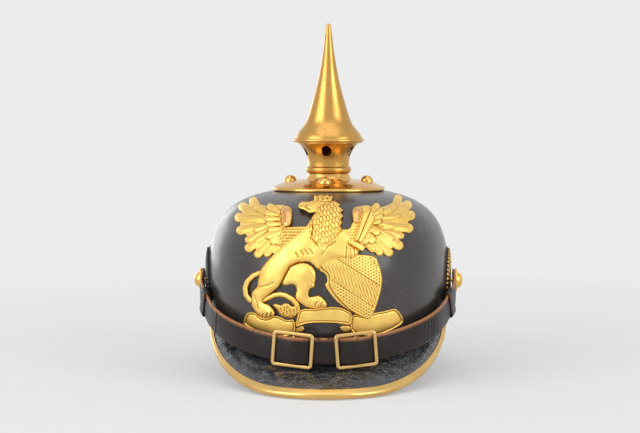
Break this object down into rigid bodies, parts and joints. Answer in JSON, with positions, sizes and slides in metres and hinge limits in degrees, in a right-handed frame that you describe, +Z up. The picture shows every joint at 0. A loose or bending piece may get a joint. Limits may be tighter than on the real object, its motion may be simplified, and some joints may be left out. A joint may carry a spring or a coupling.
{
  "type": "spiked helmet",
  "caption": "Black leather parade helmet with a brass spike on a round base, a gilt front plate, visors, side rosettes and a buckled chin strap.",
  "frame": {"origin": "on the spike's axis, on the surface that the helmet stands on", "axes": "+Z up along the spike, the wearer looks along -Y, +X to the wearer's left, which is the right of the picture"},
  "size_m": [0.2098, 0.3023, 0.27],
  "materials": {
    "lacquered_leather": "glossy",
    "strap_leather": "satin",
    "liner_leather": "matte",
    "spike_brass": "satin",
    "base_brass": "polished",
    "trim_brass": "satin",
    "plate_gilt": "matte",
    "buckle_brass": "satin",
    "cockade_gold": "satin",
    "cockade_black": "satin",
    "nut_brass": "matte"
  },
  "bodies": {
    "helmet": {"shell": "lacquered_leather", "front_visor": "lacquered_leather", "rear_visor": "lacquered_leather", "front_visor_trim": "trim_brass", "rear_spine": "trim_brass", "spine_studs": "trim_brass", "spine_stud_nuts": "nut_brass", "spike_base": "base_brass", "base_studs": "base_brass", "base_stud_nuts": "nut_brass", "base_backing_ring": "liner_leather", "spike_thread": "nut_brass", "helmet_plate": "plate_gilt", "plate_posts": "nut_brass", "plate_nuts": "nut_brass", "left_cockade": "cockade_black", "left_cockade_backing": "strap_leather", "right_cockade": "cockade_gold", "right_cockade_backing": "strap_leather", "left_rosette": "trim_brass", "right_rosette": "trim_brass", "rosette_nuts": "nut_brass", "sweatband": "liner_leather", "liner_fingers": "liner_leather"},
    "spike": {"spike_neck": "spike_brass", "spike_cone": "spike_brass"},
    "vent_cover": {"vent_slide": "trim_brass"},
    "chin_strap": {"left_end_strap": "strap_leather", "right_end_strap": "strap_leather", "centre_strap": "strap_leather", "left_buckle": "buckle_brass", "right_buckle": "buckle_brass"},
    "left_keeper_loop": {"left_keeper": "strap_leather"},
    "right_keeper_loop": {"right_keeper": "strap_leather"}
  },
  "joints": [
    {"name": "spike_unscrew", "type": "hinge", "parent": "helmet", "child": "spike", "pos_m": [0, 0, 0.153], "axis": [0, 0, 1], "range_deg": [0, 1080]},
    {"name": "vent_open", "type": "slide", "parent": "helmet", "child": "vent_cover", "axis": [0, 0, 1], "range_m": [0, 0.01]},
    {"name": "strap_swing", "type": "hinge", "parent": "helmet", "child": "chin_strap", "pos_m": [0, -0.008, 0.07], "axis": [-1, 0, 0], "range_deg": [0, 80]},
    {"name": "left_keeper_slide", "type": "slide", "parent": "chin_strap", "child": "left_keeper_loop", "axis": [0.311, -0.8592, -0.4062], "range_m": [0, 0.005]},
    {"name": "right_keeper_slide", "type": "slide", "parent": "chin_strap", "child": "right_keeper_loop", "axis": [-0.311, -0.8592, -0.4062], "range_m": [0, 0.005]}
  ]
}
